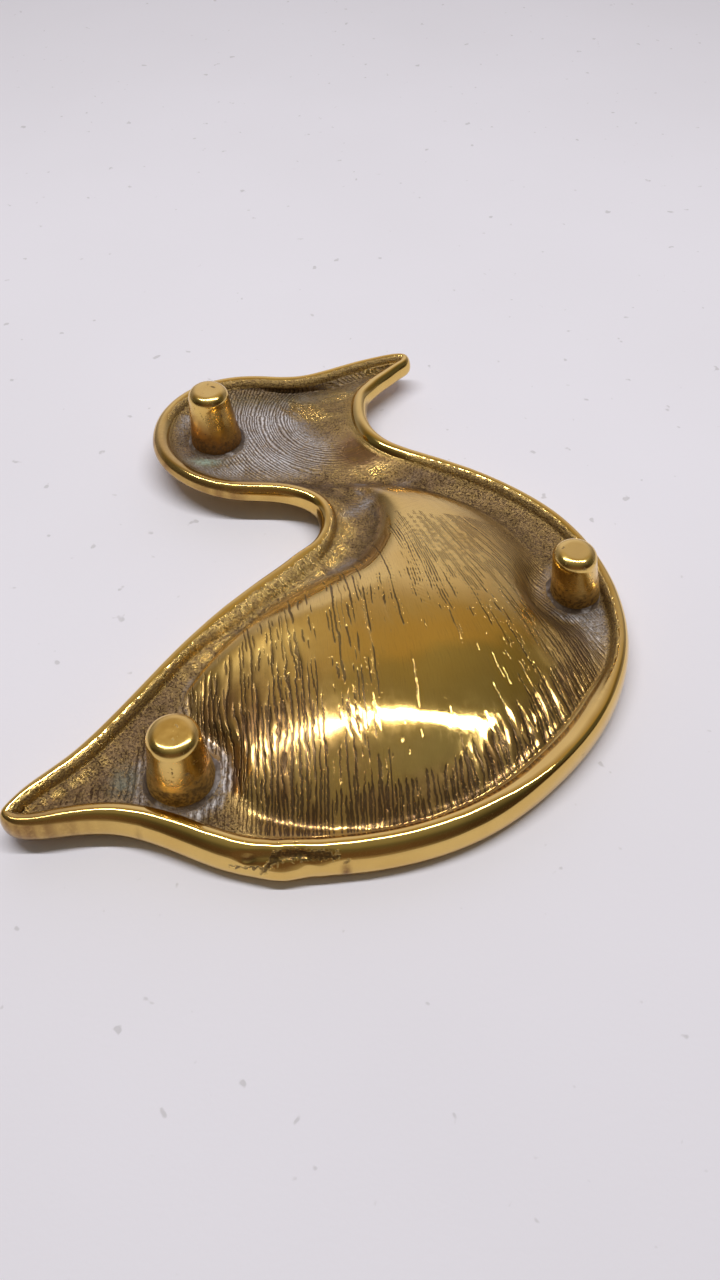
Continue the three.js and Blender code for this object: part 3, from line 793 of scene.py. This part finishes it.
# Materials
class Nodes:
    """A small helper to lay out a material's nodes."""

    def __init__(self, name):
        self.material = bpy.data.materials.new(name)
        self.material.use_nodes = True
        self.tree = self.material.node_tree
        self.shader = self.tree.nodes["Principled BSDF"]
        coordinates = self.tree.nodes.new("ShaderNodeTexCoord")
        self.place = coordinates.outputs["Object"]

    def link(self, source, target):
        self.tree.links.new(source, target)

    def put(self, value, socket):
        if isinstance(value, bpy.types.NodeSocket):
            self.link(value, socket)
        else:
            socket.default_value = value

    def noise(self, scale, detail=4.0, roughness=0.55, place=None, stretch=None):
        node = self.tree.nodes.new("ShaderNodeTexNoise")
        node.inputs["Scale"].default_value = scale
        node.inputs["Detail"].default_value = detail
        node.inputs["Roughness"].default_value = roughness
        place = place or self.place
        if stretch:
            mapping = self.tree.nodes.new("ShaderNodeMapping")
            mapping.inputs["Scale"].default_value = stretch
            self.link(place, mapping.inputs["Vector"])
            place = mapping.outputs["Vector"]
        self.link(place, node.inputs["Vector"])
        return node.outputs["Fac"]

    def attribute(self, name, output="Fac"):
        node = self.tree.nodes.new("ShaderNodeAttribute")
        node.attribute_name = name
        return node.outputs[output]

    def place_part(self, axis):
        node = self.tree.nodes.new("ShaderNodeSeparateXYZ")
        self.link(self.place, node.inputs["Vector"])
        return node.outputs[axis]

    def spread(self, value, low, high, new_low=0.0, new_high=1.0):
        node = self.tree.nodes.new("ShaderNodeMapRange")
        node.interpolation_type = "SMOOTHSTEP"
        self.put(value, node.inputs["Value"])
        node.inputs["From Min"].default_value = low
        node.inputs["From Max"].default_value = high
        node.inputs["To Min"].default_value = new_low
        node.inputs["To Max"].default_value = new_high
        return node.outputs["Result"]

    def maths(self, kind, a, b=0.0, clamped=False):
        node = self.tree.nodes.new("ShaderNodeMath")
        node.operation = kind
        node.use_clamp = clamped
        self.put(a, node.inputs[0])
        self.put(b, node.inputs[1])
        return node.outputs["Value"]

    def colour(self, share, a, b):
        node = self.tree.nodes.new("ShaderNodeMix")
        node.data_type = "RGBA"
        self.put(share, node.inputs["Factor"])
        for value, socket in ((a, node.inputs["A"]), (b, node.inputs["B"])):
            if isinstance(value, bpy.types.NodeSocket):
                self.link(value, socket)
            else:
                socket.default_value = (*value, 1.0)
        return node.outputs["Result"]

    def bump(self, height, distance, strength=1.0, before=None):
        node = self.tree.nodes.new("ShaderNodeBump")
        node.inputs["Strength"].default_value = strength
        node.inputs["Distance"].default_value = distance
        self.put(height, node.inputs["Height"])
        if before is not None:
            self.link(before, node.inputs["Normal"])
        return node.outputs["Normal"]


BRASS = (0.83, 0.57, 0.18)
WARM_BRASS = (0.72, 0.44, 0.11)
STAINED_BRASS = (0.38, 0.18, 0.045)
GRIT = (0.30, 0.20, 0.085)
PATINA = (0.078, 0.042, 0.019)
BROWN = (0.17, 0.105, 0.060)
FILM = (0.27, 0.135, 0.045)
RESIDUE = (0.86, 0.82, 0.83)
RESIDUE_SHADE = (0.13, 0.10, 0.08)

# Cast flaws on the front of the rim: x and z of both ends, half the width, in mm
FLAWS = [
    ((-19.4, 4.5), (-13.2, 5.4), 0.26),
    ((-13.6, 4.9), (-10.4, 6.9), 0.85),
    ((-10.8, 7.20), (0.8, 6.90), 0.55),
    ((1.8, 5.7), (2.6, 6.0), 0.30),
]
VERDIGRIS = (0.36, 0.46, 0.38)


def flaws(m, ragged):
    """1 in the cracks and scabs of the cast front, 0 elsewhere."""
    x, y, z = (m.place_part(axis) for axis in "XYZ")
    wander = m.maths("MULTIPLY", m.maths("SUBTRACT", ragged, 0.5), 3.0 * MM)
    total = 0.0
    for (x0, z0), (x1, z1), half in FLAWS:
        line = m.spread(x, x0 * MM, x1 * MM, z0 * MM, z1 * MM)
        away = m.maths("ABSOLUTE", m.maths("ADD", m.maths("SUBTRACT", z, line), wander))
        band = m.spread(away, 0.6 * half * MM, half * MM, 1.0, 0.0)
        ends = m.spread(x, (x0 - 0.4) * MM, (x0 + 0.4) * MM)
        ends = m.maths("MULTIPLY", ends, m.spread(x, (x1 - 0.4) * MM, (x1 + 0.4) * MM, 1.0, 0.0))
        total = m.maths("MAXIMUM", total, m.maths("MULTIPLY", band, ends))
    return m.maths("MULTIPLY", total, m.spread(y, -0.0715, -0.0705, 1.0, 0.0))


def groove(m, name, ragged, least, most):
    """Sharp grooves from the counts painted on the casting: 1 in a groove, 0 beside it. The
    second value is 1 on the crests halfway between grooves."""
    layer = m.attribute(name, "Vector")
    parts = m.tree.nodes.new("ShaderNodeSeparateXYZ")
    m.link(layer, parts.inputs["Vector"])
    here = parts.outputs["Z"]
    wander = m.maths("MULTIPLY", m.maths("SUBTRACT", ragged, 0.5), 0.55)
    away = m.maths("PINGPONG", m.maths("ADD", parts.outputs["X"], wander), 0.5)
    width = m.spread(here, 0.0, 1.0, least, most)
    edge = m.maths("SUBTRACT", away, width)
    strength = m.spread(here, 0.04, 0.45)
    line = m.maths("MULTIPLY", m.spread(edge, -0.05, 0.08, 1.0, 0.0), strength)
    return line, m.maths("MULTIPLY", m.spread(away, 0.30, 0.44), strength)


def casting_material():
    m = Nodes("aged cast brass")
    # The patina value holds real patina and painted shade
    polish, patina_and_shade = m.attribute("polish"), m.attribute("patina_and_shade")
    residue, verdigris = m.attribute("residue"), m.attribute("verdigris")
    glint = m.attribute("glint")
    raw = m.maths("SUBTRACT", 1.0, polish, True)
    grit = m.noise(2600.0, 4.0, 0.65)
    fine = m.noise(1100.0, 4.0, 0.6)
    medium = m.noise(330.0, 4.0, 0.55)
    cloud = m.noise(60.0, 3.0, 0.5)

    long_cut, crest = groove(m, "long_marks", fine, 0.04, 0.13)
    short_cut, _ = groove(m, "short_marks", fine, 0.05, 0.19)
    cut = m.maths("MAXIMUM", long_cut, m.maths("MULTIPLY", short_cut, 0.95))
    flaw = flaws(m, m.noise(900.0, 4.0, 0.7))
    grainy = m.spread(raw, 0.3, 0.9)
    pits = m.maths("MULTIPLY", m.spread(m.noise(2300.0, 2.0, 0.5), 0.54, 0.64), grainy)
    streak_place = m.tree.nodes.new("ShaderNodeMapping")
    streak_place.inputs["Scale"].default_value = (4.2, 0.22, 0.0)
    m.link(m.attribute("short_marks", "Vector"), streak_place.inputs["Vector"])
    streak = m.noise(1.0, 3.0, 0.6, streak_place.outputs["Vector"])

    base = m.colour(m.spread(cloud, 0.35, 0.7, 0.0, 0.5), BRASS, WARM_BRASS)
    worn = m.maths("MULTIPLY", raw, m.spread(grit, 0.38, 0.58, 0.4, 1.0))
    # Glints keep the clean brass colour instead of grit: a painted highlight
    away_from_glint = m.maths("SUBTRACT", 1.0, m.maths("MULTIPLY", glint, 0.75), True)
    base = m.colour(m.maths("MULTIPLY", worn, away_from_glint), base, GRIT)
    dark = m.maths("MULTIPLY", patina_and_shade, m.spread(fine, 0.25, 0.55, 0.7, 1.0))
    dark = m.maths("ADD", dark, m.maths("MULTIPLY", pits, 0.5), True)
    dark = m.maths("ADD", dark, m.maths("MULTIPLY", polish, m.spread(streak, 0.48, 0.75, 0.0, 0.20)), True)
    soot = m.colour(m.spread(medium, 0.35, 0.65), PATINA, BROWN)
    base = m.colour(dark, base, m.colour(polish, soot, FILM))
    scar = m.maths("MAXIMUM", cut, m.maths("MULTIPLY", flaw, m.spread(grit, 0.40, 0.62, 1.0, 0.55)))
    base = m.colour(m.maths("MULTIPLY", scar, 0.88), base, PATINA)
    dark = m.maths("MAXIMUM", dark, scar)
    pale = m.maths("MULTIPLY", residue, m.spread(fine, 0.30, 0.56, 0.45, 1.0))
    pale = m.maths("MULTIPLY", pale, m.maths("SUBTRACT", 1.0, m.maths("MULTIPLY", cut, 0.75), True))
    lit = m.maths("ADD", m.spread(streak, 0.42, 0.62, 0.0, 0.4), m.spread(grit, 0.42, 0.62, 0.0, 0.4), True)
    lit = m.maths("ADD", lit, m.maths("MULTIPLY", crest, m.spread(fine, 0.35, 0.55, 0.6, 1.8)), True)
    crust = m.colour(lit, RESIDUE_SHADE, RESIDUE)
    base = m.colour(pale, base, crust)
    green = m.maths("MULTIPLY", verdigris, m.spread(fine, 0.3, 0.6, 0.3, 1.0))
    base = m.colour(green, base, VERDIGRIS)
    m.link(base, m.shader.inputs["Base Color"])

    metal = m.maths("SUBTRACT", 1.0, m.maths("MULTIPLY", dark, 0.2), True)
    metal = m.maths("SUBTRACT", metal, m.maths("MULTIPLY", pale, 0.55), True)
    m.link(m.maths("SUBTRACT", metal, green, True), m.shader.inputs["Metallic"])

    rough = m.spread(polish, 0.0, 1.0, 0.36, 0.030)
    rough = m.maths("SUBTRACT", rough, m.maths("MULTIPLY", glint, 0.26), True)
    rough = m.maths("ADD", rough, m.maths("MULTIPLY", m.attribute("satin"), 0.27))
    rough = m.maths("ADD", rough, m.maths("MULTIPLY", dark, 0.12))
    rough = m.maths("ADD", rough, m.maths("MULTIPLY", pale, 0.15))
    rough = m.maths("ADD", rough, m.spread(medium, 0.35, 0.75, 0.0, 0.02), True)
    m.link(rough, m.shader.inputs["Roughness"])

    raised = m.maths("ADD", m.maths("MULTIPLY", residue, 0.16), m.maths("MULTIPLY", glint, 0.9))
    raised = m.maths("ADD", raised, m.maths("MULTIPLY", polish, 0.02))
    height = m.maths("MULTIPLY", grainy, m.maths("ADD", m.maths("MULTIPLY", grit, 1.6), fine))
    height = m.maths("SUBTRACT", height, pits)
    height = m.maths("SUBTRACT", height, m.maths("MULTIPLY", cut, 0.8))
    height = m.maths("SUBTRACT", height, m.maths("MULTIPLY", flaw, 3.0))
    height = m.maths("ADD", height, m.maths("MULTIPLY", crest, m.maths("MULTIPLY", glint, 2.4)))
    height = m.maths("ADD", height, m.maths("MULTIPLY", streak, raised))
    bumpy = m.bump(height, 0.00014, 0.9)
    m.link(m.bump(m.noise(240.0, 3.0, 0.5), 0.00002, 0.5, bumpy), m.shader.inputs["Normal"])
    return m.material


def peg_material():
    m = Nodes("polished peg brass")
    fine = m.noise(1300.0, 4.0, 0.6)
    medium = m.noise(330.0, 4.0, 0.6)
    cloud = m.noise(110.0, 3.0, 0.5)
    level = m.maths("ADD", m.place_part("Z"), m.spread(medium, 0.3, 0.7, -0.0014, 0.0014))
    low = m.spread(level, 0.0085, 0.0130, 1.0, 0.0)
    crack = m.maths("ABSOLUTE", m.maths("SUBTRACT", m.noise(190.0, 5.0, 0.6), 0.5))
    crack = m.maths("MULTIPLY", m.spread(crack, 0.0, 0.012, 1.0, 0.0), m.spread(cloud, 0.45, 0.6))
    crack = m.maths("MULTIPLY", crack, m.spread(m.place_part("Z"), 0.0165, 0.0185, 1.0, 0.0))
    specks = m.spread(m.noise(600.0, 3.0, 0.6), 0.63, 0.69)
    stain = m.maths("MULTIPLY", low, m.spread(fine, 0.38, 0.62, 0.3, 0.75))
    marks = m.maths("MAXIMUM", stain, m.maths("MULTIPLY", crack, 0.7))
    dark = m.maths("MAXIMUM", m.maths("MULTIPLY", specks, 0.8), marks)
    base = m.colour(m.spread(cloud, 0.35, 0.7, 0.0, 0.6), BRASS, WARM_BRASS)
    tan = m.spread(m.maths("ADD", m.place_part("Z"), m.spread(cloud, 0.3, 0.7, -0.003, 0.003)), 0.0105, 0.0185, 0.95, 0.0)
    tan = m.maths("MULTIPLY", tan, m.spread(m.place_part("Y"), 0.005, 0.02, 0.15, 1.0))
    base = m.colour(tan, base, STAINED_BRASS)
    base = m.colour(dark, base, m.colour(m.spread(medium, 0.35, 0.65), PATINA, BROWN))
    m.link(base, m.shader.inputs["Base Color"])
    m.link(m.spread(dark, 0.0, 1.0, 1.0, 0.7), m.shader.inputs["Metallic"])
    rough = m.maths("ADD", m.spread(medium, 0.3, 0.75, 0.16, 0.26), m.maths("MULTIPLY", dark, 0.4), True)
    rough = m.maths("ADD", rough, m.maths("MULTIPLY", low, 0.38), True)
    rough = m.maths("ADD", rough, m.maths("MULTIPLY", tan, 0.22), True)
    m.link(rough, m.shader.inputs["Roughness"])
    pits = m.maths("MULTIPLY", m.maths("MAXIMUM", specks, crack), 0.10)
    height = m.maths("SUBTRACT", cloud, pits)
    m.link(m.bump(height, 0.00006, 0.5), m.shader.inputs["Normal"])
    return m.material


def filler_material():
    m = Nodes("crusted filler metal and painted shade")
    fine = m.noise(2300.0, 4.0, 0.65)
    medium = m.noise(420.0, 4.0, 0.6)
    patch = m.noise(150.0, 3.0, 0.55)
    pale = m.maths("MULTIPLY", m.spread(patch, 0.50, 0.60), m.spread(medium, 0.35, 0.55, 0.3, 0.9))
    # The dark base is the filler's own brown darkened into painted shade at the foot of each peg; the pale patches
    # are crust
    base = m.colour(pale, (0.12, 0.085, 0.06), (0.44, 0.40, 0.39))
    m.link(base, m.shader.inputs["Base Color"])
    m.shader.inputs["Metallic"].default_value = 0.5
    m.link(m.spread(fine, 0.3, 0.7, 0.28, 0.55), m.shader.inputs["Roughness"])
    m.link(m.bump(m.maths("ADD", fine, medium), 0.00022, 0.9), m.shader.inputs["Normal"])
    return m.material


def paper_material():
    m = Nodes("white paper")
    fibres = m.noise(900.0, 4.0, 0.6)
    cloud = m.noise(9.0, 3.0, 0.5)
    base = m.colour(m.spread(cloud, 0.3, 0.7), (0.87, 0.85, 0.93), (0.85, 0.83, 0.905))
    specks = m.spread(m.noise(230.0, 2.0, 0.5), 0.70, 0.75, 0.0, 0.40)
    base = m.colour(specks, base, (0.40, 0.38, 0.38))
    m.link(base, m.shader.inputs["Base Color"])
    m.shader.inputs["Roughness"].default_value = 0.75
    m.shader.inputs["Specular IOR Level"].default_value = 0.25
    m.link(m.bump(fibres, 0.00006, 0.5), m.shader.inputs["Normal"])
    return m.material


casting = build_casting()
casting.data.materials.append(casting_material())
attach(casting, "root")
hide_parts("dish_casting")

peg_brass, filler = peg_material(), filler_material()
for name, base, top, radius, top_radius in FEET:
    foot = build_foot(name, base, top, radius, top_radius)
    foot.data.materials.append(peg_brass)
    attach(foot, "root")
    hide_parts("foot_" + name)
    ring = build_filler(name, base, radius)
    ring.data.materials.append(filler)
    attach(ring, "root")
    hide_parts("braze_ring_" + name)

# Paper that the dish lies on
bpy.ops.mesh.primitive_plane_add(size=4.0, location=(0.0, 0.0, 0.0))
floor = bpy.context.object
floor.name = "paper"
floor.data.materials.append(paper_material())


# Light: a long soft strip a little behind overhead, a pale wall beyond, a dim room in front
def strip(name, location, target, width, depth, power):
    data = bpy.data.lights.new(name, "AREA")
    data.shape = "RECTANGLE"
    data.size, data.size_y, data.energy = width, depth, power
    lamp = bpy.data.objects.new(name, data)
    bpy.context.scene.collection.objects.link(lamp)
    lamp.location = location
    from mathutils import Vector

    way = Vector(target) - Vector(location)
    lamp.rotation_euler = way.to_track_quat("-Z", "Y").to_euler()
    return lamp


strip("overhead strip", (0.0, 0.085, 0.80), (0.0, -0.02, 0.0), 0.95, 0.030, 5.0)

world = bpy.data.worlds.new("room")
bpy.context.scene.world = world
world.use_nodes = True
tree = world.node_tree
background = tree.nodes["Background"]
coordinates = tree.nodes.new("ShaderNodeTexCoord")
split = tree.nodes.new("ShaderNodeSeparateXYZ")
tree.links.new(coordinates.outputs["Generated"], split.inputs["Vector"])
turn = tree.nodes.new("ShaderNodeMath")
turn.operation = "ARCTAN2"
tree.links.new(split.outputs["Z"], turn.inputs[0])
tree.links.new(split.outputs["Y"], turn.inputs[1])
share = tree.nodes.new("ShaderNodeMath")
share.operation = "DIVIDE"
share.inputs[1].default_value = math.pi
tree.links.new(turn.outputs["Value"], share.inputs[0])
ramp = tree.nodes.new("ShaderNodeValToRGB")
tree.links.new(share.outputs["Value"], ramp.inputs["Fac"])
STOPS = [
    (0, (0.50, 0.48, 0.48)),
    (12, (0.74, 0.72, 0.88)),
    (38, (0.74, 0.72, 0.88)),
    (48, (0.54, 0.49, 0.52)),
    (57, (0.43, 0.36, 0.26)),
    (60, (0.44, 0.34, 0.18)),
    (64, (0.44, 0.34, 0.17)),
    (67, (0.31, 0.27, 0.16)),
    (74, (0.27, 0.25, 0.17)),
    (88, (0.28, 0.28, 0.24)),
    (112, (0.25, 0.24, 0.18)),
    (128, (0.13, 0.12, 0.085)),
    (150, (0.14, 0.09, 0.06)),
    (168, (0.15, 0.10, 0.07)),
    (180, (0.40, 0.36, 0.33)),
]
elements = ramp.color_ramp.elements
while len(elements) > 1:
    elements.remove(elements[-1])
for k, (degrees, tint) in enumerate(STOPS):
    element = elements[0] if k == 0 else elements.new(degrees / 180)
    element.position = degrees / 180
    element.color = (*tint, 1.0)
tree.links.new(ramp.outputs["Color"], background.inputs["Color"])
side = tree.nodes.new("ShaderNodeMath")
side.operation = "ABSOLUTE"
tree.links.new(split.outputs["X"], side.inputs[0])
dim = tree.nodes.new("ShaderNodeMapRange")
dim.interpolation_type = "SMOOTHSTEP"
for socket, value in zip(("From Min", "From Max", "To Min", "To Max"), (0.15, 0.8, 1.0, 0.35)):
    dim.inputs[socket].default_value = value
tree.links.new(side.outputs["Value"], dim.inputs["Value"])
tree.links.new(dim.outputs["Result"], background.inputs["Strength"])

# Camera, a phone held close, looking down at 52.3 degrees
lens = bpy.data.cameras.new("camera")
lens.lens = 27.0
lens.sensor_width = 36.0
lens.clip_start = 0.01
camera = bpy.data.objects.new("camera", lens)
bpy.context.scene.collection.objects.link(camera)
camera.location = (0.00456, -0.14914, 0.1698)
camera.rotation_euler = (math.radians(37.7), 0.0, 0.0)
bpy.context.scene.camera = camera
bpy.context.scene.view_settings.view_transform = "Standard"
